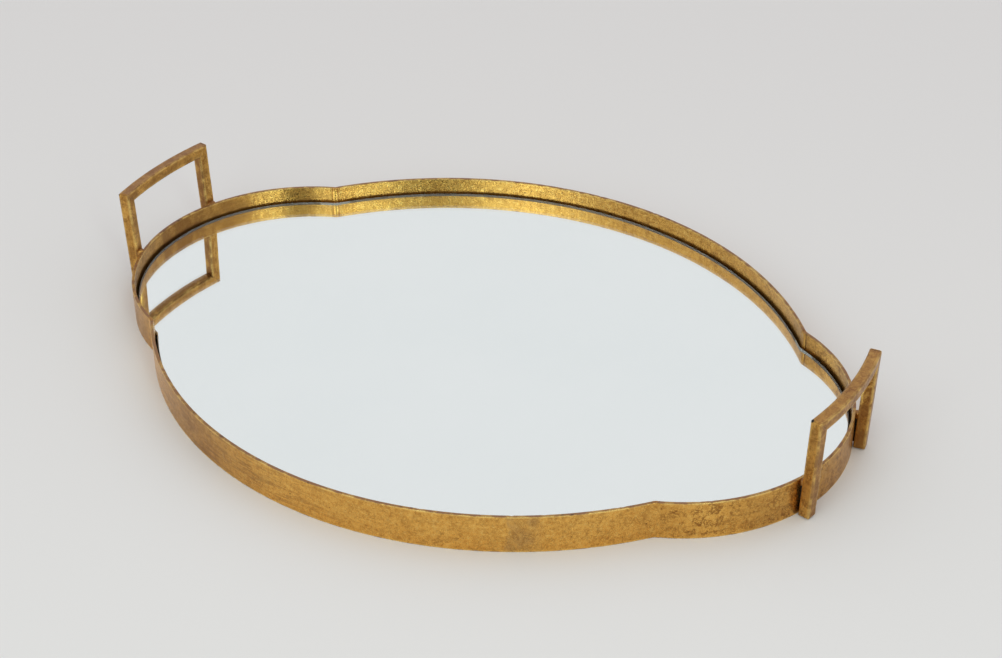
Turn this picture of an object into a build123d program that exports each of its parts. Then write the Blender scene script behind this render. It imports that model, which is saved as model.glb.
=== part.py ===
"""Mirrored dresser tray: a four-arc metal rim around a mirror pane, with a bar handle at each end.

Millimetres, +Z up. The origin is the centre of the base, X runs from handle to handle,
and -Y is the front.
"""
from build123d import *
from math import asin, atan2, cos, degrees, hypot, radians, sin, sqrt
import os

os.makedirs("parts", exist_ok=True)

# Rim: a flat strip standing on edge, bent to two wide arcs and two end lobes.
half_length = 300.0
half_width = 223.5
wide_radius = 285.5
lobe_radius = 131.0
rim_height = 30.0
strip_thickness = 2.5
strip_edge_round = 0.5
cusp_weld_half_width = 2.0
cusp_weld_crown = 0.35

# Pane and what carries it, from the bottom up.
tab_bottom = 3.5
tab_thickness = 2.0
tab_width = 20.0
tab_depth = 16.0
tab_weld_leg = 2.2
tab_weld_length = 14.0
wide_tab_angle = 26.0
lobe_tab_angle = 35.0
felt_thickness = 1.0
board_thickness = 6.0
board_gap = 0.8
adhesive_thickness = 1.0
adhesive_radius = 17.0
adhesive_spacing_x = 150.0
adhesive_spacing_y = 120.0
silvering_thickness = 0.2
glass_thickness = 3.0
glass_gap = 1.7
glass_notch_radius = 9.0
glass_arris = 0.5

# Board screws: short pan heads, driven up through the tabs.
screw_radius = 1.6
screw_head_radius = 3.2
screw_head_height = 1.9
screw_head_round = 0.85
screw_inset = 8.8
screw_reach = 7.5
screw_point = 1.6
driver_slot_length = 3.4
driver_slot_width = 0.8
driver_slot_depth = 1.0

# Handles: a U of square bar, legs outside the rim, top rail curved in plan.
bar = 9.0
bar_round = 1.3
handle_height = 82.0
handle_offset = 301.4
handle_rail_radius = 260.0
handle_half_span = 46.1
handle_lean = 2.2
leg_floor_gap = 0.6
leg_foot_chamfer = 0.8
weld_lump_radius = 4.4
weld_lump_drop = 3.0
weld_lump_stand_off = 1.7
weld_bead_radius = 2.2
weld_bead_bottom = 3.0

# Levels and centres that follow from the sizes above.
felt_bottom = tab_bottom + tab_thickness
board_bottom = felt_bottom + felt_thickness
adhesive_bottom = board_bottom + board_thickness
silvering_bottom = adhesive_bottom + adhesive_thickness
glass_bottom = silvering_bottom + silvering_thickness
wide_centre = wide_radius - half_width
lobe_centre = half_length - lobe_radius
centre_distance = hypot(wide_centre, lobe_centre)


def cusp(inset):
    """The point in the first quadrant where a wide arc meets a lobe, both moved inwards."""
    wide = wide_radius - inset
    lobe = lobe_radius - inset
    along = (wide**2 - lobe**2 + centre_distance**2) / (2 * centre_distance)
    aside = sqrt(wide**2 - along**2)
    ux = lobe_centre / centre_distance
    uy = wide_centre / centre_distance
    return (along * ux - aside * uy, along * uy + aside * ux - wide_centre)


def tray_face(inset, notch_radius=0.0):
    """The four-arc outline of the tray, moved inwards, as a face on the ground plane."""
    x, y = cusp(inset)
    with BuildSketch(mode=Mode.PRIVATE) as face:
        with BuildLine():
            ThreePointArc((-x, -y), (0, inset - half_width), (x, -y))
            ThreePointArc((x, -y), (half_length - inset, 0), (x, y))
            ThreePointArc((x, y), (0, half_width - inset), (-x, y))
            ThreePointArc((-x, y), (inset - half_length, 0), (-x, -y))
        make_face()
        if notch_radius:
            fillet(face.vertices(), radius=notch_radius)
    return face.sketch


def save(piece, name):
    """Label a finished sub-part and write its STEP file."""
    piece.part.label = name
    export_step(piece.part, f"parts/{name}.step")


# Where the arcs meet, as angles about their own centres, and how far each strip stops short.
cusp_x, cusp_y = cusp(0)
wide_cusp_angle = atan2(cusp_y + wide_centre, cusp_x)
lobe_cusp_angle = atan2(cusp_y, cusp_x - lobe_centre)
wide_strip_end = wide_cusp_angle + cusp_weld_half_width / wide_radius
lobe_strip_end = lobe_cusp_angle - cusp_weld_half_width / lobe_radius

# Rim strips: the strip's section turned about its arc's centre, from one radial end to the other.
wide_sweep = 180 - 2 * degrees(wide_strip_end)
lobe_sweep = 2 * degrees(lobe_strip_end)
strips = {
    "rim_strip_front": ((0, -1), wide_radius, wide_sweep, (0, wide_centre)),
    "rim_strip_back": ((0, 1), wide_radius, wide_sweep, (0, -wide_centre)),
    "rim_strip_left": ((-1, 0), lobe_radius, lobe_sweep, (-lobe_centre, 0)),
    "rim_strip_right": ((1, 0), lobe_radius, lobe_sweep, (lobe_centre, 0)),
}
for name, (towards, radius, arc, centre) in strips.items():
    start = atan2(towards[1], towards[0]) - radians(arc / 2)
    radial = Vector(cos(start), sin(start), 0)
    upright = Plane(origin=(*centre, 0), x_dir=radial, z_dir=radial.cross(Vector(0, 0, 1)))
    with BuildPart() as strip:
        with BuildSketch(upright):
            with Locations((radius - strip_thickness / 2, rim_height / 2)):
                RectangleRounded(strip_thickness, rim_height, strip_edge_round)
        revolve(axis=Axis((*centre, 0), (0, 0, 1)), revolution_arc=arc)
    save(strip, name)


def strip_corner(side_x, side_y, on_lobe, inset):
    """A corner of a strip's end at one cusp, on the rim's outer face or inset from it."""
    if on_lobe:
        reach = lobe_radius - inset
        x = lobe_centre + reach * cos(lobe_strip_end)
        y = reach * sin(lobe_strip_end)
    else:
        reach = wide_radius - inset
        x = reach * cos(wide_strip_end)
        y = reach * sin(wide_strip_end) - wide_centre
    return (side_x * x, side_y * y)


# Cusp welds: each fills the gap between two strip ends, ridged inside and filled outside.
inner_x, inner_y = cusp(strip_thickness + cusp_weld_crown)
outer_x, outer_y = cusp(-cusp_weld_crown)
with BuildPart() as rim_cusp_welds:
    for side_x in (-1, 1):
        for side_y in (-1, 1):
            lobe_out = strip_corner(side_x, side_y, True, 0)
            lobe_in = strip_corner(side_x, side_y, True, strip_thickness)
            wide_out = strip_corner(side_x, side_y, False, 0)
            wide_in = strip_corner(side_x, side_y, False, strip_thickness)
            with BuildSketch():
                with BuildLine():
                    Line(lobe_out, lobe_in)
                    ThreePointArc(lobe_in, (side_x * inner_x, side_y * inner_y), wide_in)
                    Line(wide_in, wide_out)
                    ThreePointArc(wide_out, (side_x * outer_x, side_y * outer_y), lobe_out)
                make_face()
            extrude(amount=rim_height)
    chamfer(rim_cusp_welds.edges().group_by(Axis.Z)[-1], length=cusp_weld_crown)
save(rim_cusp_welds, "rim_cusp_welds")

# Handles: the bar's frame stands at the rail's middle and leans outwards.
leg_angle = degrees(asin(handle_half_span / handle_rail_radius))
rail_middle = handle_height - bar / 2
mitre_reach = bar
foot_trim = 2 * bar


def handle_plane(side):
    """The leaning frame of one handle: x outwards, z up the legs."""
    lean = radians(handle_lean)
    outward = (side * cos(lean), 0, -sin(lean))
    upward = (side * sin(lean), 0, cos(lean))
    return Plane(origin=(side * handle_offset, 0, 0), x_dir=outward, z_dir=upward)


def leg_plane(side, end):
    """The frame of one leg's section: x square to the rail's curve, at the foot of the leg."""
    frame = handle_plane(side)
    turn = radians(end * leg_angle)
    middle = Vector(handle_rail_radius * (cos(turn) - 1), handle_rail_radius * sin(turn), 0)
    radial = frame.x_dir * cos(turn) + frame.y_dir * sin(turn)
    return Plane(origin=frame.from_local_coords(middle), x_dir=radial, z_dir=frame.z_dir)


def mitre_plane(side, end, up):
    """The corner's 45 degree cut: its normal points into the rail if up is 1, the leg if -1."""
    foot = leg_plane(side, end)
    corner = foot.origin + foot.z_dir * rail_middle
    return Plane(origin=corner, z_dir=(foot.z_dir - foot.y_dir * end) * up)


legs = {}
for side, side_name in ((-1, "left"), (1, "right")):
    with BuildPart() as rail:
        frame = handle_plane(side).offset(rail_middle)
        with BuildLine(frame) as path:
            bend = CenterArc((-handle_rail_radius, 0), handle_rail_radius, -leg_angle, 2 * leg_angle)
            Line(bend @ 0 - bend % 0 * mitre_reach, bend @ 0)
            Line(bend @ 1, bend @ 1 + bend % 1 * mitre_reach)
        start = path.wires()[0]
        with BuildSketch(Plane(origin=start @ 0, x_dir=frame.z_dir, z_dir=start % 0)):
            RectangleRounded(bar, bar, bar_round)
        sweep(path=start)
        for end in (-1, 1):
            split(bisect_by=mitre_plane(side, end, 1), keep=Keep.TOP)
    save(rail, f"{side_name}_handle_rail")

    for end in (-1, 1):
        # On the left the handle's own y axis points to the front.
        end_name = "back" if end * side > 0 else "front"
        foot = leg_plane(side, end)
        with BuildPart() as leg:
            with BuildSketch(foot.offset(-foot_trim)):
                RectangleRounded(bar, bar, bar_round)
            extrude(amount=foot_trim + handle_height + bar)
            split(bisect_by=mitre_plane(side, end, -1), keep=Keep.TOP)
            split(bisect_by=Plane.XY.offset(leg_floor_gap), keep=Keep.TOP)
            sole = leg.faces().sort_by(Axis.Z)[0]
            chamfer(sole.edges(), length=leg_foot_chamfer)
        save(leg, f"{side_name}_handle_leg_{end_name}")
        legs[side, end] = leg.part

# Handle welds: an upright bead in the corner between rim and leg, with a lump at its top.
lump_level = rim_height - weld_lump_drop
for side, side_name in ((-1, "left"), (1, "right")):
    with BuildPart() as welds:
        for end in (-1, 1):
            foot = leg_plane(side, end)
            seat = foot.origin - foot.x_dir * bar / 2
            inward = Vector(side * lobe_centre, 0, 0) - Vector(seat.X, seat.Y, 0)
            stand_off = lobe_radius + weld_lump_stand_off
            weld_x = side * lobe_centre - inward.normalized().X * stand_off
            weld_y = -inward.normalized().Y * stand_off
            with Locations((weld_x, weld_y, lump_level)):
                Sphere(weld_lump_radius)
            with Locations((weld_x, weld_y, weld_bead_bottom)):
                Cylinder(weld_bead_radius, lump_level - weld_bead_bottom,
                         align=(Align.CENTER, Align.CENTER, Align.MIN))
        with BuildSketch():
            with Locations((side * lobe_centre, 0)):
                Circle(lobe_radius)
        extrude(amount=rim_height, mode=Mode.SUBTRACT)
        for end in (-1, 1):
            add(legs[side, end], mode=Mode.SUBTRACT)
    save(welds, f"{side_name}_handle_welds")

# Mirror pane, with ground arrises, and the coat of silver and paint under it.
with BuildPart() as mirror_glass:
    with BuildSketch(Plane.XY.offset(glass_bottom)):
        add(tray_face(strip_thickness + glass_gap, glass_notch_radius))
    extrude(amount=glass_thickness)
    pane_top = mirror_glass.faces().sort_by(Axis.Z)[-1]
    chamfer(pane_top.edges(), length=glass_arris)
save(mirror_glass, "mirror_glass")

with BuildPart() as mirror_silvering:
    with BuildSketch(Plane.XY.offset(silvering_bottom)):
        add(tray_face(strip_thickness + glass_gap, glass_notch_radius))
    extrude(amount=silvering_thickness)
save(mirror_silvering, "mirror_silvering")

# Mastic pads between the mirror and the board.
with BuildPart() as mirror_adhesive:
    with BuildSketch(Plane.XY.offset(adhesive_bottom)):
        with GridLocations(adhesive_spacing_x, adhesive_spacing_y, 3, 3):
            Circle(adhesive_radius)
        with GridLocations(2 * (half_length - lobe_radius / 2), 1, 2, 1):
            Circle(adhesive_radius)
    extrude(amount=adhesive_thickness)
save(mirror_adhesive, "mirror_adhesive")

# Tab places: the angle about an arc's centre gives the tab's place and the way it points.
tab_frames = []
wide_inner = wide_radius - strip_thickness
lobe_inner = lobe_radius - strip_thickness
for side in (-1, 1):
    for turn in (-wide_tab_angle, wide_tab_angle):
        across = radians(turn)
        outward = Vector(sin(across), side * cos(across), 0)
        base = Vector(0, -side * wide_centre, 0)
        tab_frames.append(Plane(origin=base + outward * wide_inner, x_dir=outward, z_dir=(0, 0, 1)))
    for turn in (-lobe_tab_angle, lobe_tab_angle):
        across = radians(turn)
        outward = Vector(side * cos(across), sin(across), 0)
        base = Vector(side * lobe_centre, 0, 0)
        tab_frames.append(Plane(origin=base + outward * lobe_inner, x_dir=outward, z_dir=(0, 0, 1)))

tab_overrun = 2.0
inside_rim = extrude(tray_face(strip_thickness), amount=rim_height)

with BuildPart() as support_tabs:
    for frame in tab_frames:
        with BuildSketch(frame.offset(tab_bottom)):
            with Locations((tab_overrun, 0)):
                Rectangle(tab_depth + tab_overrun, tab_width, align=(Align.MAX, Align.CENTER))
            with Locations((-screw_inset, 0)):
                Circle(screw_radius, mode=Mode.SUBTRACT)
        extrude(amount=tab_thickness)
    add(inside_rim, mode=Mode.INTERSECT)
save(support_tabs, "support_tabs")

with BuildPart() as support_tab_welds:
    for frame in tab_frames:
        section = Plane(origin=frame.origin, x_dir=frame.x_dir, z_dir=frame.y_dir)
        with BuildSketch(section.offset(-tab_weld_length / 2)):
            with BuildLine():
                # The section plane's own y axis points down.
                Polyline((tab_overrun, -tab_bottom), (-tab_weld_leg, -tab_bottom),
                         (0, tab_weld_leg - tab_bottom), (tab_overrun, tab_weld_leg - tab_bottom),
                         close=True)
            make_face()
        extrude(amount=tab_weld_length)
    add(inside_rim, mode=Mode.INTERSECT)
save(support_tab_welds, "support_tab_welds")

# Screws: pan head under the tab, shank up into the board, short point.
with BuildPart() as board_screws:
    for frame in tab_frames:
        middle = frame.offset(tab_bottom).origin - frame.x_dir * screw_inset
        head_plane = Plane(origin=middle, x_dir=frame.x_dir, z_dir=(0, 0, -1))
        with BuildSketch(head_plane):
            Circle(screw_head_radius)
        extrude(amount=screw_head_height)
        with BuildSketch(Plane(origin=middle, z_dir=(0, 0, 1))):
            Circle(screw_radius)
        extrude(amount=screw_reach - screw_point)
        tip_plane = Plane(origin=middle + Vector(0, 0, screw_reach - screw_point), z_dir=(0, 0, 1))
        with Locations(tip_plane):
            Cone(screw_radius, screw_radius / 4, screw_point, align=(Align.CENTER, Align.CENTER, Align.MIN))
    head_rims = board_screws.edges().filter_by(GeomType.CIRCLE).group_by(Axis.Z)[0]
    fillet(head_rims, radius=screw_head_round)
    for frame in tab_frames:
        middle = frame.offset(tab_bottom - screw_head_height).origin - frame.x_dir * screw_inset
        with BuildSketch(Plane(origin=middle, x_dir=frame.x_dir, z_dir=(0, 0, 1))):
            Rectangle(driver_slot_length, driver_slot_width)
            Rectangle(driver_slot_width, driver_slot_length)
        extrude(amount=driver_slot_depth, mode=Mode.SUBTRACT)
save(board_screws, "board_screws")

# Board and felt: the same outline, both pierced by the screws.
with BuildPart() as backing_board:
    with BuildSketch(Plane.XY.offset(board_bottom)):
        add(tray_face(strip_thickness + board_gap, glass_notch_radius))
    extrude(amount=board_thickness)
    add(board_screws.part, mode=Mode.SUBTRACT)
save(backing_board, "backing_board")

with BuildPart() as base_felt:
    with BuildSketch(Plane.XY.offset(felt_bottom)):
        add(tray_face(strip_thickness + board_gap, glass_notch_radius))
    extrude(amount=felt_thickness)
    add(board_screws.part, mode=Mode.SUBTRACT)
save(base_felt, "base_felt")
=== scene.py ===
"""Looks of the mirrored tray: leafed metal swept as fine meshes, a real pane over a silver coat.

Metres throughout. The rim is four arcs: two wide ones, front and back, and two end lobes.
"""
import math

import bpy
from mathutils import Matrix, Vector, noise


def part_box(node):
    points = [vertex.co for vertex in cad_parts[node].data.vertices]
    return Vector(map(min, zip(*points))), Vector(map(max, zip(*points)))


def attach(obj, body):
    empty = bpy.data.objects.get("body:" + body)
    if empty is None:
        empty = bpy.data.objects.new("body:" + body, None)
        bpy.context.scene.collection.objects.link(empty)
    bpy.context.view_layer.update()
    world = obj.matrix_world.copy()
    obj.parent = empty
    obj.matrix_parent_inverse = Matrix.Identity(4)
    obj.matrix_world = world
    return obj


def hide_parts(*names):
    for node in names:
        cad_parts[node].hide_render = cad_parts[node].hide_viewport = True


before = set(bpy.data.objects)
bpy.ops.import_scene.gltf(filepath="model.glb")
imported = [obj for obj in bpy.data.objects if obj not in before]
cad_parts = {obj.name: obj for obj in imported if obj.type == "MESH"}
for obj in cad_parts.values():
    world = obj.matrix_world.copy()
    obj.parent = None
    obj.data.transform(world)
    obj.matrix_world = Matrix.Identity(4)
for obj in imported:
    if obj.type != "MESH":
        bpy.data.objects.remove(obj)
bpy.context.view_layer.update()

# ---------------------------------------------------------------- sizes
mm = 0.001
half_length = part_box("rim_strip_right")[1][0]
half_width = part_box("rim_strip_back")[1][1]
rim_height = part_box("rim_strip_front")[1][2]
wide_radius = 285.5 * mm
lobe_radius = 131.0 * mm
strip_thickness = 2.5 * mm
strip_round = 0.5 * mm
strip_face_spacing = 2.5 * mm
strip_wave = 0.10 * mm
strip_dent = 0.07 * mm
weld_half_width = 2.0 * mm
wide_centre = wide_radius - half_width
lobe_centre = half_length - lobe_radius

bar = 9.0 * mm
bar_round = 1.3 * mm
bar_face_spacing = 1.5 * mm
bar_wave = 0.12 * mm
bar_dent = 0.10 * mm
handle_height = 82.0 * mm
handle_offset = 301.4 * mm
rail_radius = 260.0 * mm
half_span = 46.1 * mm
handle_lean = math.radians(2.2)
foot_gap = 0.6 * mm
foot_chamfer = 0.8 * mm
rail_middle = handle_height - bar / 2
leg_angle = math.asin(half_span / rail_radius)

fold_radius = 14.0 * mm
notch_radius = 9.0 * mm

up = Vector((0, 0, 1))
side_names = {-1: "left", 1: "right"}
end_names = {-1: "front", 1: "back"}


def cusp(inset):
    """Where a wide arc meets a lobe in the first quadrant, both moved inwards."""
    wide = wide_radius - inset
    lobe = lobe_radius - inset
    apart = math.hypot(wide_centre, lobe_centre)
    along = (wide**2 - lobe**2 + apart**2) / (2 * apart)
    aside = math.sqrt(wide**2 - along**2)
    ux = lobe_centre / apart
    uy = wide_centre / apart
    return Vector((along * ux - aside * uy, along * uy + aside * ux - wide_centre, 0))


def turn_on_wide(place):
    """The angle of a place round the centre of the back arc."""
    return math.atan2(place.y + wide_centre, place.x)


def turn_on_lobe(place):
    """The angle of a place round the centre of the right-hand lobe."""
    return math.atan2(place.y, place.x - lobe_centre)


def on_wide(radius, turn):
    """The place at an angle round the centre of the back arc."""
    return Vector((radius * math.cos(turn), radius * math.sin(turn) - wide_centre, 0))


def on_lobe(radius, turn):
    """The place at an angle round the centre of the right-hand lobe."""
    return Vector((lobe_centre + radius * math.cos(turn), radius * math.sin(turn), 0))


outer_cusp = cusp(0)
inner_cusp = cusp(strip_thickness)
wide_end = turn_on_wide(outer_cusp) + weld_half_width / wide_radius
lobe_end = turn_on_lobe(outer_cusp) - weld_half_width / lobe_radius


# ---------------------------------------------------------------- meshes
def spaced(length, fine, coarse):
    """Places along a face: close together near its two ends, wide apart between them."""
    near = [d for d in fine if d < length / 2 - coarse / 4]
    start = near[-1] if near else 0.0
    middle = length - 2 * start
    count = max(1, round(middle / coarse))
    inner = [start + middle * i / count for i in range(count + 1)]
    return sorted(set(near + inner + [length - d for d in near]))


def rounded_section(width, height, radius, coarse):
    """A rounded rectangle about the origin, as points of (x, y, normal x, normal y, edge).

    edge is 1 on a rounded corner and falls to 0 a little way in from it. The points come with
    how far round the outline each one is, and with the outline's whole length.
    """
    fine = [0.35 * mm, 0.9 * mm, 1.8 * mm]
    corner_steps = 4
    reach = 1.6 * mm
    points = []
    girths = []
    girth = 0.0
    sides = (
        (Vector((width / 2, -height / 2 + radius)), Vector((0, 1)), height - 2 * radius),
        (Vector((width / 2 - radius, height / 2)), Vector((-1, 0)), width - 2 * radius),
        (Vector((-width / 2, height / 2 - radius)), Vector((0, -1)), height - 2 * radius),
        (Vector((-width / 2 + radius, -height / 2)), Vector((1, 0)), width - 2 * radius),
    )
    for start, along, length in sides:
        normal = Vector((along.y, -along.x))
        for step in spaced(length, fine, coarse):
            place = start + along * step
            edge = max(0.0, 1 - min(step, length - step) / reach)
            points.append((place.x, place.y, normal.x, normal.y, edge))
            girths.append(girth + step)
        girth += length
        centre = start + along * length - normal * radius
        for i in range(1, corner_steps):
            turn = math.pi / 2 * i / corner_steps
            out = normal * math.cos(turn) + along * math.sin(turn)
            place = centre + out * radius
            points.append((place.x, place.y, out.x, out.y, 1.0))
            girths.append(girth + radius * turn)
        girth += radius * math.pi / 2
    return points, girths, girth


def mesh_from_rings(name, rings, runs, girths, girth, edges, chips=None, tones_and_shade=None):
    """A closed tube through rings of points, with flat ends.

    Its UVs are metres along, one of runs for each ring, and metres around, one of girths for each
    point of a ring, out of girth in all. edges is how close each point of a ring is to an arris; on
    the pane it marks instead where a painted glint goes. The last two arguments are functions from a
    place to 0..1: bare black metal, and dull brown toning together with painted shade.
    """
    count = len(rings[0])
    vertices = [v for ring in rings for v in ring]
    faces = []
    for r in range(len(rings) - 1):
        for i in range(count):
            j = (i + 1) % count
            faces.append((r * count + i, r * count + j, (r + 1) * count + j, (r + 1) * count + i))
    faces.append(tuple(reversed(range(count))))
    faces.append(tuple((len(rings) - 1) * count + i for i in range(count)))
    mesh = bpy.data.meshes.new(name)
    mesh.from_pydata([tuple(v) for v in vertices], [], faces)
    layer = mesh.uv_layers.new(name="run")
    for polygon in mesh.polygons:
        ring_face = polygon.index < len(faces) - 2
        polygon.use_smooth = ring_face
        wraps = ring_face and polygon.index % count == count - 1
        for loop in polygon.loop_indices:
            vertex = mesh.loops[loop].vertex_index
            around = girths[vertex % count]
            if wraps and vertex % count == 0:
                around += girth
            layer.data[loop].uv = (runs[vertex // count], around)
    edge = mesh.attributes.new("edge", "FLOAT", "POINT")
    edge.data.foreach_set("value", [edges[i % count] for i in range(len(vertices))])
    for mark, value in (("chip", chips), ("tone_and_shade", tones_and_shade)):
        if value:
            layer = mesh.attributes.new(mark, "FLOAT", "POINT")
            layer.data.foreach_set("value", [value(Vector(v)) for v in vertices])
    mesh.update()
    piece = bpy.data.objects.new(name, mesh)
    bpy.context.collection.objects.link(piece)
    return piece


def hand_made(place, normal, edge, seed, wave, dent):
    """Sinks a point a little below its ideal face: slow waves, small dents and nicked edges."""
    waves_per_metre = 22
    dents_per_metre = 170
    nicks_per_metre = 420
    nick_from = 0.42
    nick_depth = 0.9 * mm
    shift = Vector((seed * 3.1, seed * 1.7, seed * 0.9))
    slow = 0.5 + 0.5 * noise.noise(place * waves_per_metre + shift)
    small = 0.5 + 0.5 * noise.noise(place * dents_per_metre + shift)
    depth = wave * slow + dent * small**2
    nick = noise.noise(place * nicks_per_metre + shift * 2)
    if edge > 0.5 and nick > nick_from:
        depth += (nick - nick_from) * nick_depth * edge
    return place - normal * depth


def spots(*marks):
    """A function that is strongest at each (place, reach, strength) and falls to 0 at its reach."""
    marks = [(Vector(spot), reach, strength) for spot, reach, strength in marks]

    def value(place):
        return max(0.0, *(strength * (1 - (place - spot).length / reach)
                          for spot, reach, strength in marks))
    return value


def rim_strip(name, centre, radius, middle, half_sweep, seed, tones_and_shade):
    """One bent strip standing on edge between two radial ends."""
    section, girths, girth = rounded_section(strip_thickness, rim_height, strip_round,
                                             strip_face_spacing)
    ring_spacing = 2.0 * mm
    count = math.ceil(2 * half_sweep / (ring_spacing / radius))
    rings = []
    runs = []
    for r in range(count + 1):
        angle = middle - half_sweep + 2 * half_sweep * r / count
        out = Vector((math.cos(angle), math.sin(angle), 0))
        ring = []
        for x, z, nx, nz, edge in section:
            place = centre + out * (radius - strip_thickness / 2 + x) + up * (rim_height / 2 + z)
            normal = out * nx + up * nz
            ring.append(hand_made(place, normal, edge, seed, strip_wave, strip_dent))
        rings.append(ring)
        runs.append(radius * (angle - middle))
    edges = [point[4] for point in section]
    return mesh_from_rings(name, rings, runs, girths, girth, edges, tones_and_shade=tones_and_shade)


# ---------------------------------------------------------------- materials
class Nodes:
    """Short calls for building a node tree."""

    def __init__(self, tree):
        self.tree = tree

    def link(self, source, socket):
        self.tree.links.new(source, socket)

    def put(self, value, socket):
        if isinstance(value, bpy.types.NodeSocket):
            self.link(value, socket)
        else:
            socket.default_value = value

    def coordinates(self, kind):
        return self.tree.nodes.new("ShaderNodeTexCoord").outputs[kind]

    def run(self):
        """Metres along a piece and around it."""
        node = self.tree.nodes.new("ShaderNodeUVMap")
        node.uv_map = "run"
        return node.outputs["UV"]

    def attribute(self, name):
        node = self.tree.nodes.new("ShaderNodeAttribute")
        node.attribute_name = name
        return node.outputs["Fac"]

    def stretch(self, vector, scale, shift=(0, 0, 0)):
        node = self.tree.nodes.new("ShaderNodeMapping")
        self.link(vector, node.inputs["Vector"])
        node.inputs["Scale"].default_value = scale
        node.inputs["Location"].default_value = shift
        return node.outputs[0]

    def noise(self, vector, scale, detail=4.0, rough=0.55, distortion=0.0):
        node = self.tree.nodes.new("ShaderNodeTexNoise")
        self.link(vector, node.inputs["Vector"])
        node.inputs["Scale"].default_value = scale
        node.inputs["Detail"].default_value = detail
        node.inputs["Roughness"].default_value = rough
        node.inputs["Distortion"].default_value = distortion
        return node.outputs["Fac"]

    def cells(self, vector, scale):
        """The distance from the nearest of many scattered points, in cell sizes."""
        node = self.tree.nodes.new("ShaderNodeTexVoronoi")
        self.link(vector, node.inputs["Vector"])
        node.inputs["Scale"].default_value = scale
        return node.outputs["Distance"]

    def math(self, kind, a, b=0.0):
        node = self.tree.nodes.new("ShaderNodeMath")
        node.operation = kind
        self.put(a, node.inputs[0])
        self.put(b, node.inputs[1])
        return node.outputs[0]

    def plus(self, a, b):
        return self.math("ADD", a, b)

    def times(self, a, b):
        return self.math("MULTIPLY", a, b)

    def most(self, a, b):
        return self.math("MAXIMUM", a, b)

    def off(self, value, level):
        """How far value is from level, either way."""
        return self.math("ABSOLUTE", self.math("SUBTRACT", value, level))

    def part(self, vector, axis):
        node = self.tree.nodes.new("ShaderNodeSeparateXYZ")
        self.link(vector, node.inputs[0])
        return node.outputs[axis]

    def dot(self, vector, direction):
        node = self.tree.nodes.new("ShaderNodeVectorMath")
        node.operation = "DOT_PRODUCT"
        self.link(vector, node.inputs[0])
        node.inputs[1].default_value = direction
        return node.outputs["Value"]

    def warp(self, vector, scale, amount, detail=2.0):
        """The vector moved each way by up to half of amount, by a noise of its own."""
        by = self.tree.nodes.new("ShaderNodeTexNoise")
        self.link(vector, by.inputs["Vector"])
        by.inputs["Scale"].default_value = scale
        by.inputs["Detail"].default_value = detail
        centred = self.tree.nodes.new("ShaderNodeVectorMath")
        centred.operation = "SUBTRACT"
        self.link(by.outputs["Color"], centred.inputs[0])
        centred.inputs[1].default_value = (0.5, 0.5, 0.5)
        scaled = self.tree.nodes.new("ShaderNodeVectorMath")
        scaled.operation = "SCALE"
        self.link(centred.outputs[0], scaled.inputs[0])
        scaled.inputs["Scale"].default_value = amount
        total = self.tree.nodes.new("ShaderNodeVectorMath")
        self.link(vector, total.inputs[0])
        self.link(scaled.outputs[0], total.inputs[1])
        return total.outputs[0]

    def ramp(self, value, low, high, out_low=0.0, out_high=1.0):
        """value from low..high to out_low..out_high, smoothly and clamped."""
        node = self.tree.nodes.new("ShaderNodeMapRange")
        node.interpolation_type = "SMOOTHSTEP"
        self.link(value, node.inputs["Value"])
        node.inputs["From Min"].default_value = low
        node.inputs["From Max"].default_value = high
        node.inputs["To Min"].default_value = out_low
        node.inputs["To Max"].default_value = out_high
        return node.outputs["Result"]

    def mix(self, factor, a, b):
        node = self.tree.nodes.new("ShaderNodeMix")
        node.data_type = "RGBA"
        self.put(factor, node.inputs["Factor"])
        sockets = [s for s in node.inputs if s.type == "RGBA"]
        for value, socket in ((a, sockets[0]), (b, sockets[1])):
            self.put((*value, 1.0) if isinstance(value, tuple) else value, socket)
        return next(s for s in node.outputs if s.type == "RGBA")

    def bump(self, height, depth, normal=None, sunk=False):
        node = self.tree.nodes.new("ShaderNodeBump")
        node.invert = sunk
        node.inputs["Distance"].default_value = depth
        node.inputs["Strength"].default_value = 1.0
        self.link(height, node.inputs["Height"])
        if normal is not None:
            self.link(normal, node.inputs["Normal"])
        return node.outputs[0]


class Surface(Nodes):
    """The nodes of one new material, which end in a principled shader."""

    def __init__(self, name):
        self.material = bpy.data.materials.new(name)
        self.material.use_nodes = True
        super().__init__(self.material.node_tree)
        self.tree.nodes.clear()
        self.shader = self.tree.nodes.new("ShaderNodeBsdfPrincipled")
        out = self.tree.nodes.new("ShaderNodeOutputMaterial")
        self.link(self.shader.outputs[0], out.inputs["Surface"])


gold_bright = (0.96, 0.585, 0.15)
gold_plain = (0.79, 0.425, 0.092)
gold_deep = (0.58, 0.275, 0.055)
dull_leaf = (0.58, 0.345, 0.115)
# The toned gold serves both for real toning and for painted shade.
toned_and_shaded_gold = (0.35, 0.17, 0.048)
toned_brown = (0.24, 0.11, 0.038)
bole_red = (0.25, 0.115, 0.055)
thread_brown = (0.24, 0.092, 0.02)
old_black = (0.018, 0.014, 0.012)
# Bright gold for burnished arrises, also used as a painted highlight along them.
burnished_and_highlight = (1.0, 0.70, 0.23)


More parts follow.
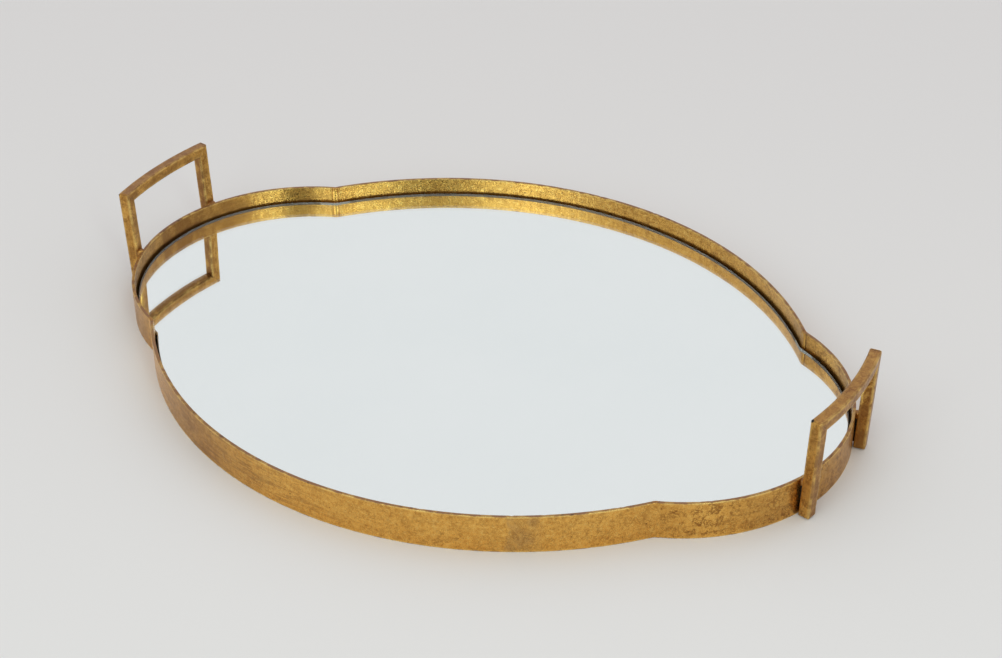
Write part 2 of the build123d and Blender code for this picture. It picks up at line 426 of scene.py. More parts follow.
def leaf_material(name, seed, streaks, threads, worn=0.7, topped=0.85, coat=0.0, mottle=(0.7, 1.2),
                  crinkle=1.0, laps=()):
    """Metal leaf over red-brown bole, rubbed through at the edges and toned in the hollows.

    streaks and threads say how strongly the dragged smudges and the spidery toning show, each as
    a pair: before and after the middle of the run. worn is for rubbed edges and the painted highlight
    along them, topped for how brown the upward faces are, coat for brown varnish over everything,
    mottle for the least and the most of it from place to place, and crinkle for the leaf's own
    wrinkles. laps are stretches of the run, from and to in metres, where a second leaf lies duller
    over the first.
    """
    n = Surface(name)
    place = n.stretch(n.coordinates("Object"), (1, 1, 1), (seed * 0.37, seed * 0.11, seed * 0.23))
    run = n.stretch(n.run(), (1, 1, 1), (seed * 0.13, seed * 0.029, 0))
    edge = n.attribute("edge")
    # The leaf itself: soft clouds and a fine bright grain.
    cloud = n.noise(place, 30, 4, 0.6)
    grain = n.noise(place, 750, 4, 0.7)
    grit = n.noise(n.warp(place, 200, 0.004), 330, 3, 0.6)
    colour = n.mix(n.ramp(cloud, 0.3, 0.7, 0.0, 0.45), gold_plain, gold_bright)
    colour = n.mix(n.ramp(grain, 0.48, 0.72, 0.0, 0.65), colour, gold_bright)
    colour = n.mix(n.ramp(grain, 0.28, 0.5, 0.75, 0.0), colour, gold_deep)
    colour = n.mix(n.ramp(grit, 0.50, 0.66, 0.0, 0.55), colour, gold_deep)
    colour = n.mix(n.ramp(grit, 0.32, 0.44, 0.30 * crinkle, 0.0), colour, burnished_and_highlight)
    # Brown varnish lies unevenly over it. The same darkening carries painted shade on the rim by the
    # handles and on the handles' outsides and openings.
    distance = n.part(n.run(), 0)
    patchy = n.noise(n.warp(place, 90, 0.008), 95, 5, 0.62)
    dull = n.plus(n.attribute("tone_and_shade"), coat)
    dull = n.times(dull, n.ramp(patchy, 0.36, 0.62, *mottle))
    colour = n.mix(dull, colour, toned_and_shaded_gold)
    # Where one leaf laps another the metal is duller.
    lap_wander = 14 * mm
    lap_start_blur = 4 * mm
    lap_end_blur = 9 * mm
    for start, end in laps:
        along = n.plus(distance, n.times(n.noise(place, 110, 5), lap_wander))
        lap = n.times(n.ramp(along, start, start + lap_start_blur),
                      n.ramp(along, end - lap_end_blur, end, 1, 0))
        colour = n.mix(n.times(lap, n.ramp(patchy, 0.35, 0.6, 0.85, 0.3)), colour, dull_leaf)
    # Toning dragged along the strip in smudges and fine hairs.
    smudge = n.noise(n.stretch(run, (36, 300, 1)), 1, 5, 0.62, 0.8)
    hairs = n.noise(n.stretch(run, (80, 1000, 1)), 1, 4, 0.62, 1.0)
    dragged = n.most(n.ramp(smudge, 0.47, 0.64, 0.0, 0.8), n.ramp(hairs, 0.50, 0.64, 0.0, 0.65))
    dragged = n.times(dragged, n.ramp(distance, -0.08, 0.08, *streaks))
    colour = n.mix(dragged, colour, toned_and_shaded_gold)
    # Toning left in a web of fine hollows and in blotches, denser in some places than others.
    zone = n.ramp(n.noise(place, 23, 4, 0.6), 0.38, 0.62, 0.55, 1.0)
    broken = n.ramp(n.noise(place, 150, 2), 0.42, 0.52)
    web = n.noise(n.warp(place, 70, 0.020), 190, 2, 0.5)
    wide_web = n.ramp(n.off(web, 0.5), 0.01, 0.06, 0.95, 0.0)
    fine_net = n.noise(n.warp(place, 120, 0.012), 330, 2, 0.5)
    fine_web = n.ramp(n.off(fine_net, 0.48), 0.01, 0.06, 0.8, 0.0)
    web_mask = n.times(n.most(wide_web, fine_web), n.times(zone, broken))
    amount = n.ramp(distance, -0.04, 0.12, *threads)
    web_mask = n.times(web_mask, amount)
    colour = n.mix(web_mask, colour, thread_brown)
    blotch = n.noise(n.warp(place, 240, 0.004), 260, 6, 0.7)
    blotch_mask = n.times(n.ramp(blotch, 0.56, 0.74), n.times(zone, amount))
    colour = n.mix(n.times(blotch_mask, 0.35), colour, toned_brown)
    # Black specks, in clusters.
    speck = n.ramp(n.cells(place, 300), 0.10, 0.20, 1.0, 0.0)
    speck = n.times(speck, n.ramp(n.noise(place, 75, 2), 0.62, 0.68))
    colour = n.mix(n.times(speck, 0.85), colour, old_black)
    # Arrises painted bright gold, partly burnishing and partly a painted highlight along the rounded
    # edges; upward faces browned, and the leaf rubbed through to the bole and the black metal here
    # and there.
    rub_noise = n.noise(place, 120, 4, 0.65)
    arris = n.math("POWER", edge, 2.5)
    burnish_and_highlight = n.ramp(rub_noise, 0.62, 0.42, 0.3 * worn, 1.25 * worn)
    colour = n.mix(n.times(arris, burnish_and_highlight), colour, burnished_and_highlight)
    upward = n.ramp(n.part(n.coordinates("Normal"), 2), 0.5, 0.8)
    topping = n.times(upward, n.ramp(rub_noise, 0.3, 0.6, topped * 0.7, topped))
    colour = n.mix(topping, colour, bole_red)
    rub = n.times(n.ramp(n.plus(edge, rub_noise), 1.42, 1.62), worn)
    colour = n.mix(rub, colour, bole_red)
    bare = n.times(n.most(rub, n.times(topping, edge)), n.ramp(n.noise(place, 200, 3), 0.62, 0.70))
    colour = n.mix(n.times(bare, 0.85), colour, old_black)
    chip = n.ramp(n.plus(n.attribute("chip"), n.times(rub_noise, 0.5)), 0.55, 0.75)
    colour = n.mix(chip, colour, old_black)
    n.link(colour, n.shader.inputs["Base Color"])
    # Leaf is metal. Bole, toning and chips are less so, and rougher.
    covered = n.most(rub, n.times(n.most(blotch_mask, web_mask), 0.15))
    covered = n.most(covered, n.most(chip, n.times(topping, 0.2)))
    n.link(n.ramp(covered, 0, 1, 1.0, 0.2), n.shader.inputs["Metallic"])
    rough = n.ramp(grain, 0.3, 0.7, 0.36, 0.20)
    rough = n.plus(rough, n.times(covered, 0.25))
    rough = n.plus(rough, n.times(dull, 0.12))
    n.link(rough, n.shader.inputs["Roughness"])
    # Relief: hammered waves, the leaf's wrinkles, the hairs standing up and the web sunk in.
    relief = n.bump(n.noise(place, 90, 3), 0.20 * mm)
    wrinkle = n.noise(n.warp(place, 200, 0.004), 330, 5, 0.68)
    relief = n.bump(wrinkle, 0.16 * crinkle * mm, relief)
    relief = n.bump(hairs, 0.03 * mm, relief)
    relief = n.bump(web_mask, 0.03 * mm, relief, sunk=True)
    n.link(relief, n.shader.inputs["Normal"])
    return n.material


def glass_material():
    """Clear float glass, faintly green, with the lightest haze of dust and wiping marks."""
    n = Surface("float_glass")
    n.shader.inputs["Base Color"].default_value = (0.965, 0.99, 0.985, 1)
    n.shader.inputs["Transmission Weight"].default_value = 1.0
    n.shader.inputs["IOR"].default_value = 1.52
    place = n.coordinates("Object")
    wipe = n.noise(n.stretch(place, (9, 60, 9)), 1, 5, 0.6, 1.2)
    dust = n.noise(place, 900, 3, 0.7)
    haze = n.times(n.ramp(wipe, 0.55, 0.8), 0.004)
    haze = n.plus(haze, n.times(n.ramp(dust, 0.66, 0.8), 0.006))
    n.link(haze, n.shader.inputs["Roughness"])
    return n.material


def ground_edge_material():
    """The pane's ground edge, grey with backing paint and nibbled by the wheel, with a painted glint."""
    n = Surface("ground_glass_edge")
    place = n.coordinates("Object")
    wheel = n.noise(n.stretch(place, (1, 1, 3)), 1400, 4, 0.7)
    nibble = n.noise(place, 240, 4, 0.65)
    colour = n.mix(n.ramp(wheel, 0.3, 0.7), (0.26, 0.265, 0.27), (0.42, 0.425, 0.43))
    colour = n.mix(n.ramp(nibble, 0.6, 0.72), colour, (0.55, 0.58, 0.58))
    # Painted glint: near white where the ring is flagged, in and beside the notches.
    colour = n.mix(n.attribute("edge"), colour, (0.86, 0.89, 0.89))
    n.link(colour, n.shader.inputs["Base Color"])
    n.link(n.ramp(wheel, 0.3, 0.7, 0.45, 0.7), n.shader.inputs["Roughness"])
    n.link(n.bump(nibble, 0.1 * mm, n.bump(wheel, 0.05 * mm)), n.shader.inputs["Normal"])
    return n.material


def silver_material():
    """The silver film seen through the pane, a trace darker in broad clouds."""
    n = Surface("silver_film")
    place = n.coordinates("Object")
    cloud = n.noise(place, 7, 3)
    colour = n.mix(n.ramp(cloud, 0.3, 0.7), (0.915, 0.94, 0.95), (0.93, 0.95, 0.96))
    n.link(colour, n.shader.inputs["Base Color"])
    n.shader.inputs["Metallic"].default_value = 1.0
    n.link(n.ramp(n.noise(place, 300, 3), 0.6, 0.8, 0.0, 0.004), n.shader.inputs["Roughness"])
    return n.material


def board_material():
    """Black painted fibreboard with a fine fibrous grain."""
    n = Surface("black_board")
    place = n.coordinates("Object")
    grain = n.noise(n.stretch(place, (1, 1, 3)), 900, 5, 0.7)
    dust = n.noise(place, 60, 4)
    colour = n.mix(n.ramp(grain, 0.35, 0.7), (0.006, 0.006, 0.006), (0.016, 0.015, 0.014))
    colour = n.mix(n.ramp(dust, 0.55, 0.8, 0, 0.4), colour, (0.035, 0.031, 0.027))
    n.link(colour, n.shader.inputs["Base Color"])
    n.link(n.ramp(grain, 0.3, 0.7, 0.75, 0.5), n.shader.inputs["Roughness"])
    n.link(n.bump(grain, 0.12 * mm), n.shader.inputs["Normal"])
    return n.material


def felt_material():
    """Short black felt: matted fibres, lint and a soft nap."""
    n = Surface("black_felt")
    place = n.coordinates("Object")
    tangle = n.noise(n.warp(place, 500, 0.004, 3), 1500, 6, 0.75)
    nap = n.noise(place, 45, 4)
    colour = n.mix(n.ramp(tangle, 0.3, 0.7), (0.012, 0.012, 0.013), (0.05, 0.048, 0.047))
    colour = n.mix(n.ramp(nap, 0.4, 0.75, 0, 0.35), colour, (0.075, 0.072, 0.07))
    lint = n.ramp(n.cells(n.stretch(place, (1, 3, 1)), 130), 0.02, 0.045, 1.0, 0.0)
    colour = n.mix(n.times(lint, 0.5), colour, (0.4, 0.39, 0.37))
    n.link(colour, n.shader.inputs["Base Color"])
    n.link(n.ramp(tangle, 0.3, 0.7, 0.95, 0.8), n.shader.inputs["Roughness"])
    n.shader.inputs["Sheen Weight"].default_value = 0.4
    n.link(n.bump(tangle, 0.5 * mm, n.bump(nap, 0.4 * mm)), n.shader.inputs["Normal"])
    return n.material


def steel_material():
    """Zinc-plated screws: spangle and a little rust in patches."""
    n = Surface("zinc_screw")
    place = n.coordinates("Object")
    spangle = n.noise(place, 700, 4, 0.6)
    colour = n.mix(n.ramp(spangle, 0.3, 0.7), (0.42, 0.41, 0.38), (0.66, 0.65, 0.61))
    colour = n.mix(n.ramp(n.noise(place, 260, 4), 0.58, 0.72), colour, (0.23, 0.12, 0.06))
    n.link(colour, n.shader.inputs["Base Color"])
    n.shader.inputs["Metallic"].default_value = 1.0
    n.link(n.ramp(spangle, 0.3, 0.7, 0.3, 0.5), n.shader.inputs["Roughness"])
    n.link(n.bump(spangle, 0.05 * mm), n.shader.inputs["Normal"])
    return n.material


def tab_material():
    """Ledges and tack welds: sprayed brown paint with gold overspray and burnt spots."""
    n = Surface("painted_tab")
    place = n.coordinates("Object")
    spray = n.noise(place, 800, 5, 0.7)
    cloud = n.noise(place, 110, 4)
    colour = n.mix(n.ramp(cloud, 0.35, 0.65), (0.12, 0.06, 0.03), (0.22, 0.12, 0.05))
    colour = n.mix(n.ramp(spray, 0.5, 0.62, 0, 0.7), colour, gold_deep)
    colour = n.mix(n.ramp(n.noise(place, 190, 3), 0.6, 0.75), colour, old_black)
    n.link(colour, n.shader.inputs["Base Color"])
    n.link(n.ramp(spray, 0.5, 0.62, 0.2, 0.8), n.shader.inputs["Metallic"])
    n.link(n.ramp(spray, 0.3, 0.7, 0.6, 0.4), n.shader.inputs["Roughness"])
    n.link(n.bump(n.noise(place, 500, 4), 0.15 * mm), n.shader.inputs["Normal"])
    return n.material


def mastic_material():
    """Pale mirror mastic, pressed flat."""
    n = Surface("mirror_mastic")
    place = n.coordinates("Object")
    lumps = n.noise(place, 150, 4)
    colour = n.mix(n.ramp(lumps, 0.3, 0.7), (0.52, 0.49, 0.43), (0.64, 0.61, 0.55))
    n.link(colour, n.shader.inputs["Base Color"])
    n.link(n.ramp(lumps, 0.3, 0.7, 0.7, 0.5), n.shader.inputs["Roughness"])
    n.link(n.bump(lumps, 0.4 * mm), n.shader.inputs["Normal"])
    return n.material


def finish(piece, material, slot, *nodes):
    """Gives a new piece its material, hangs it under the root body and hides the CAD nodes it replaces.
    """
    piece.data.materials.append(material)
    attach(piece, "root")
    if nodes:
        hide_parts(*nodes)


def refinish(node, material):
    """A better material on a CAD node whose shape is right."""
    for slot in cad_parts[node].material_slots:
        slot.material = material


# ---------------------------------------------------------------- camera, floor and light
def bearing(azimuth, elevation):
    """The direction at an azimuth, from the front towards +X, and an elevation, both in degrees."""
    turn = math.radians(azimuth)
    rise = math.radians(elevation)
    return Vector((math.sin(turn) * math.cos(rise), -math.cos(turn) * math.cos(rise), math.sin(rise)))


# The photograph's own view.
camera_azimuth = 32.18
camera_elevation = 33.31
camera_roll = math.radians(-0.74)
camera_distance = 1.512
camera_aside = 0.0190
camera_raise = 0.0223
camera_lens = 70.58
camera_sensor = 36

back = bearing(camera_azimuth, camera_elevation)
level = bearing(camera_azimuth + 90, 0)
upright = back.cross(level)
across = level * math.cos(camera_roll) + upright * math.sin(camera_roll)
above = back.cross(across)
camera = bpy.data.objects.new("camera", bpy.data.cameras.new("camera"))
camera.data.lens = camera_lens
camera.data.sensor_width = camera_sensor
camera.rotation_euler = Matrix((across, above, back)).transposed().to_euler()
camera.location = across * camera_aside + above * camera_raise + back * camera_distance
bpy.context.collection.objects.link(camera)
bpy.context.scene.camera = camera
bpy.context.scene.view_settings.view_transform = "Standard"

floor_mesh = bpy.data.meshes.new("floor")
floor_reach = 6.0
floor_corners = [(floor_reach * x, floor_reach * y, 0) for x, y in ((-1, -1), (1, -1), (1, 1), (-1, 1))]
floor_mesh.from_pydata(floor_corners, [], [(0, 1, 2, 3)])
floor = bpy.data.objects.new("floor", floor_mesh)
bpy.context.collection.objects.link(floor)
cloth = Surface("pale_floor")
cloth.shader.inputs["Base Color"].default_value = (0.80, 0.773, 0.772, 1)
cloth.shader.inputs["Roughness"].default_value = 0.9
cloth.shader.inputs["Specular IOR Level"].default_value = 0.2
floor_mesh.materials.append(cloth.material)

# The studio is pale, a little dimmer low down, and dark in a patch behind the camera, between the
# two panels. The inside of the back strip mirrors that patch.
dark_patch = (0.50, -0.66, 0.56)
world = bpy.data.worlds.new("studio")
bpy.context.scene.world = world
world.use_nodes = True
sky = Nodes(world.node_tree)
looking = sky.coordinates("Generated")
brightness = sky.ramp(sky.part(looking, 2), 0.0, 0.45, 0.59, 0.82)
dimming = sky.ramp(sky.dot(looking, dark_patch), 0.88, 0.99, 1.0, 0.12)
background = sky.tree.nodes["Background"]
sky.link(sky.times(brightness, dimming), background.inputs["Strength"])
background.inputs["Color"].default_value = (1.0, 1.0, 1.0, 1)

# The panels are greener than the studio, which turns the leaf's highlights towards lemon.
panel_colour = (0.82, 1.0, 0.92)
panel_distance = 2.6


def softbox(name, azimuth, elevation, width, height, power):
    """A soft panel facing the tray, its bearing in degrees and its power in watts."""
    place = bearing(azimuth, elevation) * panel_distance
    lamp = bpy.data.lights.new(name, "AREA")
    lamp.shape = "RECTANGLE"
    lamp.size = width
    lamp.size_y = height
    lamp.energy = power
    lamp.color = panel_colour
    box = bpy.data.objects.new(name, lamp)
    box.location = place
    box.rotation_euler = (-place).to_track_quat("-Z", "Y").to_euler()
    box.visible_camera = False
    bpy.context.collection.objects.link(box)


softbox("wide_panel", 3, 34, 1.3, 1.5, 10.3)
softbox("narrow_panel", 52, 34, 0.42, 1.5, 8.5)

# ---------------------------------------------------------------- rim
rim_left = leaf_material("leaf_rim_left", 1.0, (0.55, 0.55), (0.35, 0.35), coat=0.32)
rim_front = leaf_material("leaf_rim_front", 2.0, (0.95, 0.20), (0.12, 0.52),
                          laps=[(0.153, 0.182)])
rim_right = leaf_material("leaf_rim_right", 3.0, (0.25, 0.25), (0.85, 0.85), coat=0.03)
rim_back = leaf_material("leaf_rim_back", 4.0, (0.30, 0.30), (0.45, 0.45), coat=0.18, crinkle=1.6)
bars = {
    "left": leaf_material("leaf_bars_left", 5.0, (0.35, 0.35), (0.7, 0.7), 0.4, 0.65, 0.62, (0.4, 1.4)),
    "right": leaf_material("leaf_bars_right", 8.0, (0.35, 0.35), (0.9, 0.9), 0.4, 0.5, 0.42, (0.6, 1.3)),
}
lumps = leaf_material("leaf_lumps", 6.0, (0.0, 0.0), (0.8, 0.8), 0.5, 0.6, 0.4, (0.2, 1.6))
cusps = leaf_material("leaf_cusps", 7.0, (0.0, 0.0), (0.6, 0.6), 0.5, 0.8)

# Broad duller areas of the rim: where, how far they reach, how strong they are. Some are toning;
# those under the handles' rails and beside the right handle's legs are painted shade.
toning_and_shade = spots(
    ((-0.115, -0.200, 0.012), 0.095, 0.75),
    ((-0.300, 0.012, 0.015), 0.080, 0.85),
    ((0.300, -0.005, 0.012), 0.080, 0.60),
    ((-0.262, -0.095, 0.012), 0.045, 0.45),
    ((0.2195, -0.1210, 0.014), 0.022, 0.22),
    ((0.2160, 0.1180, 0.020), 0.030, 0.60),
    ((0.290, 0.060, 0.020), 0.070, 0.75),
    ((0.279, -0.067, 0.012), 0.040, 0.35),
)

quarter = math.pi / 2
wide_half = quarter - wide_end
strips = (
    ("front", Vector((0, wide_centre, 0)), wide_radius, -quarter, wide_half, rim_front),
    ("back", Vector((0, -wide_centre, 0)), wide_radius, quarter, wide_half, rim_back),
    ("left", Vector((-lobe_centre, 0, 0)), lobe_radius, math.pi, lobe_end, rim_left),
    ("right", Vector((lobe_centre, 0, 0)), lobe_radius, 0.0, lobe_end, rim_right),
)
for index, (side, centre, radius, middle, half_sweep, material) in enumerate(strips):
    strip = rim_strip(f"leafed_strip_{side}", centre, radius, middle, half_sweep, index + 1, toning_and_shade)
    finish(strip, material, "gold_leaf_rim", f"rim_strip_{side}")


def cusp_weld(name, side_x, side_y, seed):
    """The upright weld in one corner of the rim: rippled, ridged inside and filled outside."""
    # Inside, it bridges the inner corners of the two strips' ends with a ridge.
    lobe_inner = on_lobe(lobe_radius - strip_thickness, lobe_end)
    wide_inner = on_wide(wide_radius - strip_thickness, wide_end)
    ridge_reach = inner_cusp - lobe_inner.lerp(wide_inner, 0.5)
    # Outside, it is dressed to a soft fold that runs out just under the strips' faces.
    fold = cusp(-fold_radius)
    lobe_turn = turn_on_lobe(fold)
    wide_turn = turn_on_wide(fold)
    sunk = 0.3 * mm
    run_out = 1.5 * mm
    lobe_edge = on_lobe(lobe_radius - sunk, lobe_turn - run_out / lobe_radius)
    wide_edge = on_wide(wide_radius - sunk, wide_turn + run_out / wide_radius)
    steps = 8
    plan = [(lobe_edge.lerp(lobe_inner, i / steps), False) for i in range(steps)]
    for i in range(steps):
        t = i / steps
        plan.append((lobe_inner.lerp(wide_inner, t) + ridge_reach * (4 * t * (1 - t)), i > 0))
    plan += [(wide_inner.lerp(wide_edge, i / steps), False) for i in range(steps + 1)]
    for i in range(2 * steps + 1):
        turn = wide_turn + (lobe_turn - wide_turn) * i / (2 * steps) + math.pi
        plan.append((fold + Vector((math.cos(turn), math.sin(turn), 0)) * fold_radius, False))
    heart = (inner_cusp + outer_cusp) / 2
    levels = 60
    bottom = 0.15 * mm
    top = rim_height - 0.3 * mm
    cap_height = 0.6 * mm
    cap_inset = 0.3 * mm
    ripple_pitch = 1.9 * mm
    bumps_per_metre = 600
    rings = []
    for r in range(levels + 1):
        z = bottom + (top - bottom) * r / levels
        cap = max(0.0, 1 - (top - z) / cap_height, 1 - (z - bottom) / cap_height)
        ring = []
        for point, ridged in plan:
            away = (point - heart).normalized()
            place = point + up * z
            ripple = math.sin((z - (point - heart).length) / ripple_pitch * 2 * math.pi)
            rough = noise.noise(place * bumps_per_metre + up * seed)
            lift = (0.08 * ripple + 0.12 * rough if ridged else 0.05 * rough) * mm
            place = place + away * (lift - cap_inset * cap)
            ring.append(Vector((place.x * side_x, place.y * side_y, place.z)))
        rings.append(ring if side_x * side_y > 0 else ring[::-1])
    spacing = 0.4 * mm
    girths = [spacing * i for i in range(len(plan))]
    runs = [(top - bottom) * r / levels for r in range(levels + 1)]
    edges = [0.0] * len(plan)
    return mesh_from_rings(name, rings, runs, girths, spacing * len(plan), edges, tones_and_shade=toning_and_shade)


for side_x, side_name in side_names.items():
    for side_y, end_name in end_names.items():
        name = f"cusp_weld_{side_name}_{end_name}"
        weld = cusp_weld(name, side_x, side_y, 1.0 + side_x + 0.4 * side_y)
        finish(weld, cusps, "gold_leaf_weld", "rim_cusp_welds")


# ---------------------------------------------------------------- handles
def handle_frame(side):
    """Origin, outward, sideways and upward vectors of one leaning handle."""
    outward = Vector((side * math.cos(handle_lean), 0, -math.sin(handle_lean)))
    upward = Vector((side * math.sin(handle_lean), 0, math.cos(handle_lean)))
    return Vector((side * handle_offset, 0, 0)), outward, Vector((0, 1, 0)), upward


def rail_foot(side, angle, beyond=0.0):
    """The place under the rail's arc at one angle, level with the handle's foot, and its radial.

    beyond moves it out from the middle of the bar.
    """
    origin, outward, sideways, _ = handle_frame(side)
    radial = outward * math.cos(angle) + sideways * math.sin(angle)
    return origin + radial * (rail_radius + beyond) - outward * rail_radius, radial


def handle_shade(side):
    """A function for painted shade on a handle: on its outside, and stronger on the faces of its
    opening.
    """
    origin, outward, sideways, upward = handle_frame(side)
    skin = 0.9 * mm
    opening_shade = 0.6
    outside_shade = 0.45

    def tone_and_shade(place):
        local = place - origin + outward * rail_radius
        height_up = local.dot(upward)
        plan = local - upward * height_up
        beyond = plan.length - rail_radius
        around_arc = rail_radius * abs(math.atan2(plan.dot(sideways), plan.dot(outward)))
        between_legs = around_arc < half_span - bar / 2 + skin
        under_rail = height_up < rail_middle - bar / 2 + skin
        # Painted shade: stronger in the opening under the rail and between the legs, lighter on the
        # outside faces.
        if between_legs and under_rail:
            return opening_shade
        return outside_shade if beyond > bar / 2 - skin else 0.0
    return tone_and_shade


def handle_rail(side, seed, chips):
    """The curved top bar of a handle, mitred at both ends."""
    _, outward, sideways, upward = handle_frame(side)
    section, girths, girth = rounded_section(bar, bar, bar_round, bar_face_spacing)
    steps = 60
    mitre_steps = 6
    rings = []
    runs = []
    for r in range(steps + 1):
        angle = -leg_angle + 2 * leg_angle * r / steps
        # The rings lean over gradually to lie in the mitre at each end.
        lean = max(0.0, 1 - min(r, steps - r) / mitre_steps) * (-1 if r < steps / 2 else 1)
        foot, radial = rail_foot(side, angle)
        along = sideways * math.cos(angle) - outward * math.sin(angle)
        centre = foot + upward * rail_middle
        ring = []
        for x, z, nx, nz, edge in section:
            place = centre + radial * x + upward * z + along * z * lean
            normal = radial * nx + upward * nz
            ring.append(hand_made(place, normal, edge, seed, bar_wave, bar_dent))
        rings.append(ring)
        runs.append(rail_radius * angle + seed)
    edges = [point[4] for point in section]
    if outward.cross(upward).dot(sideways) < 0:
        rings.reverse()
        runs.reverse()
    name = f"{side_names[side]}_leafed_rail"
    return mesh_from_rings(name, rings, runs, girths, girth, edges, chips, handle_shade(side))


def handle_leg(side, end, seed, chips):
    """One upright bar of a handle, from its chamfered foot to the mitre."""
    _, outward, sideways, upward = handle_frame(side)
    angle = end * leg_angle
    foot, radial = rail_foot(side, angle)
    along = (sideways * math.cos(angle) - outward * math.sin(angle)) * end
    section, girths, girth = rounded_section(bar, bar, bar_round, bar_face_spacing)
    # The foot's rings, as how far down and how far in, in parts of the chamfer.
    chamfer_rings = {-2: (0.9, 0.75), -1: (0.35, 0.15)}
    steps = 44
    rings = []
    runs = []
    for r in range(-2, steps + 1):
        ring = []
        for x, y, nx, ny, edge in section:
            normal = radial * nx + along * ny
            across_bar = radial * x + along * y
            # The rings turn gradually from the level foot to the slope of the mitre.
            low = (foot_gap + foot_chamfer - across_bar.z - foot.z) / upward.z
            height_up = low + (rail_middle + y - low) * max(r, 0) / steps
            place = foot + across_bar + upward * height_up
            if r in chamfer_rings:
                down, inwards = chamfer_rings[r]
                place = place - up * (foot_chamfer * down) - normal * (foot_chamfer * inwards)
            ring.append(hand_made(place, normal, edge, seed, bar_wave, bar_dent))
        rings.append(ring)
        runs.append(handle_height * r / steps + seed)
    edges = [point[4] for point in section]
    if radial.cross(along).dot(upward) < 0:
        rings = [ring[::-1] for ring in rings]
        girths = [girth - g for g in reversed(girths)]
        edges.reverse()
    name = f"{side_names[side]}_leafed_leg_{end_names[end]}"
    return mesh_from_rings(name, rings, runs, girths, girth, edges, chips, handle_shade(side))


def weld_lump(side, end, seed):
    """The bead between rim and leg with a rough lump where it ends at the rim's top edge."""
    seat, _ = rail_foot(side, end * leg_angle, -bar / 2)
    lobe = Vector((side * lobe_centre, 0, 0))
    out = Vector((seat.x, seat.y, 0)) - lobe
    out.normalize()
    standing = 1.7 * mm
    centre = lobe + out * (lobe_radius + standing)
    bottom = 3.0 * mm
    top = rim_height + 1.4 * mm
    ball_height = rim_height - 3.0 * mm
    ball_radius = 4.4 * mm if side < 0 else 3.4 * mm
    bead_radius = 2.2 * mm
    bead_taper = 2 * mm
    least_radius = 0.15 * mm
    bumps_per_metre = 330
    grains_per_metre = 900
    # The lump stays this far from the lobe's centre, outside the strip's inner face.
    least_reach = lobe_radius - strip_thickness + 0.4 * mm
    steps = 46
    around = 28
    rings = []
    for r in range(steps + 1):
        z = bottom + (top - bottom) * r / steps
        bead = bead_radius * min(1.0, math.sqrt(max(0.0, (z - bottom) / bead_taper)) + 0.05)
        ball = math.sqrt(max(0.0, ball_radius**2 - (z - ball_height) ** 2))
        size = max(bead if z < ball_height else 0.0, ball, least_radius)
        ring = []
        for i in range(around):
            turn = 2 * math.pi * i / around
            away = Vector((math.cos(turn), math.sin(turn), 0))
            place = centre + away * size + up * z
            bumps = noise.noise(place * bumps_per_metre + up * seed)
            grains = noise.noise(place * grains_per_metre)
            place = place + away * (bumps * 1.1 + grains * 0.45) * mm
            reach = (place - lobe).to_2d().length
            if reach < least_reach:
                place = place + out * (least_reach - reach)
            ring.append(place)
        rings.append(ring)

    def sooty(place):
        """Bare and black below the lump, where the bead was not leafed."""
        return 1.0 if place.z < ball_height - 3 * mm else 0.0

    browned = spots((centre + up * ball_height, 0.02, 0.9))
    spacing = 0.6 * mm
    girths = [spacing * i for i in range(around)]
    runs = [(top - bottom) * r / steps + seed for r in range(steps + 1)]
    edges = [0.3] * around
    name = f"{side_names[side]}_weld_{end_names[end]}"
    return mesh_from_rings(name, rings, runs, girths, spacing * around, edges, sooty, browned)


for side, side_name in side_names.items():
    # One knocked corner on each handle: the outer one on the left, the inner one on the right.
    sideways, upward = handle_frame(side)[2:]
    knock_foot, _ = rail_foot(side, -leg_angle, -side * bar / 2)
    knock_reach = 4.4 * mm if side < 0 else 3.2 * mm
    knock = spots((knock_foot - sideways * bar / 2 + upward * handle_height, knock_reach, 1.0))
    rail = handle_rail(side, 7.0 + side, knock)
    finish(rail, bars[side_name], "gold_leaf_bar", f"{side_name}_handle_rail")
    for end, end_name in end_names.items():
        leg = handle_leg(side, end, 9.0 + side + 0.4 * end, knock)
        finish(leg, bars[side_name], "gold_leaf_bar", f"{side_name}_handle_leg_{end_name}")
        lump = weld_lump(side, end, 3.0 + side + 0.4 * end)
        finish(lump, lumps, "gold_leaf_weld", f"{side_name}_handle_welds")


# ---------------------------------------------------------------- pane, board and underside
lobe_steps = 70
notch_steps = 8
wide_steps = 90
lobe_glint_steps = 5
wide_glint_steps = 4


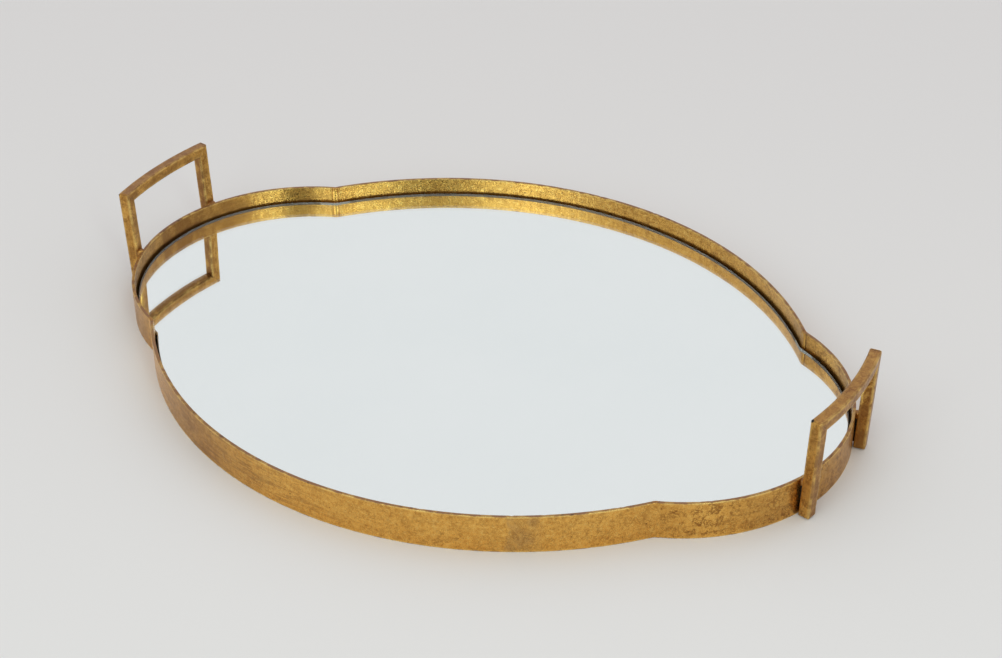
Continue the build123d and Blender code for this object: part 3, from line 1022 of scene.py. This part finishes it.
def pane_ring(inset, z):
    """Points round the pane's outline, moved inwards, each with 1 in or near a notch, else 0.

    The outline is four arcs whose meeting corners are rounded out by small notch arcs. The ground
    edge is painted with a near-white glint in the notches and a few steps beyond them. The ring
    starts in the middle of the right-hand lobe and goes anticlockwise.
    """
    notch = cusp(inset - notch_radius)
    lobe_turn = turn_on_lobe(notch)
    wide_turn = turn_on_wide(notch)
    arc = []
    for i in range(lobe_steps):
        place = on_lobe(lobe_radius - inset, lobe_turn * i / lobe_steps)
        arc.append((place.x, place.y, float(i >= lobe_steps - lobe_glint_steps)))
    for i in range(notch_steps):
        turn = lobe_turn + (wide_turn - lobe_turn) * i / notch_steps + math.pi
        place = notch + Vector((math.cos(turn), math.sin(turn), 0)) * notch_radius
        arc.append((place.x, place.y, 1.0))
    for i in range(wide_steps):
        place = on_wide(wide_radius - inset, wide_turn + (math.pi / 2 - wide_turn) * i / wide_steps)
        arc.append((place.x, place.y, float(i < wide_glint_steps)))
    # Every second quarter runs back from the wide arc's middle to the lobe's.
    back_arc = [(0.0, half_width - inset, 0.0)] + arc[:0:-1]
    points = []
    for side_x, side_y in ((1, 1), (-1, 1), (-1, -1), (1, -1)):
        for x, y, glint in arc if side_x * side_y > 0 else back_arc:
            points.append((Vector((x * side_x, y * side_y, z)), glint))
    return points


def pane_slab(name, outlines):
    """A flat slab of the pane's outline through levels of (inset, z), from the bottom up."""
    levels = [pane_ring(inset, z) for inset, z in outlines]
    rings = [[place for place, _ in level] for level in levels]
    glints = [glint for _, glint in levels[0]]
    spacing = 3 * mm
    girths = [spacing * i for i in range(len(glints))]
    runs = [z for _, z in outlines]
    return mesh_from_rings(name, rings, runs, girths, spacing * len(glints), glints)


pane_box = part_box("mirror_glass")
pane_inset = half_length - pane_box[1][0]
pane_arris = 0.5 * mm
pane_bottom = pane_box[0][2]
pane_top = pane_box[1][2]
pane = pane_slab("pane", [
    (pane_inset, pane_bottom), (pane_inset, pane_top - pane_arris),
    (pane_inset + pane_arris, pane_top)])
finish(pane, glass_material(), "mirror_pane", "mirror_glass")
pane.data.materials.append(ground_edge_material())
# The edge's faces have four corners each, and the top and the bottom are one face each.
for polygon in pane.data.polygons:
    polygon.material_index = 1 if len(polygon.vertices) == 4 else 0
    polygon.use_smooth = False

# The film's top lies a hair inside the pane, so that light meets silver and not an air gap.
film_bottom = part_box("mirror_silvering")[0][2]
overlap = 0.03 * mm
film_arris = 0.05 * mm
film_inset = pane_inset + 0.05 * mm
film = pane_slab("silver_film", [
    (film_inset + film_arris, film_bottom), (film_inset, film_bottom + overlap),
    (film_inset, pane_bottom), (film_inset + film_arris, pane_bottom + overlap)])
finish(film, silver_material(), "silver_and_backing_paint", "mirror_silvering")

refinish("mirror_adhesive", mastic_material())
refinish("backing_board", board_material())
refinish("base_felt", felt_material())
refinish("support_tabs", tab_material())
refinish("support_tab_welds", tab_material())
refinish("board_screws", steel_material())
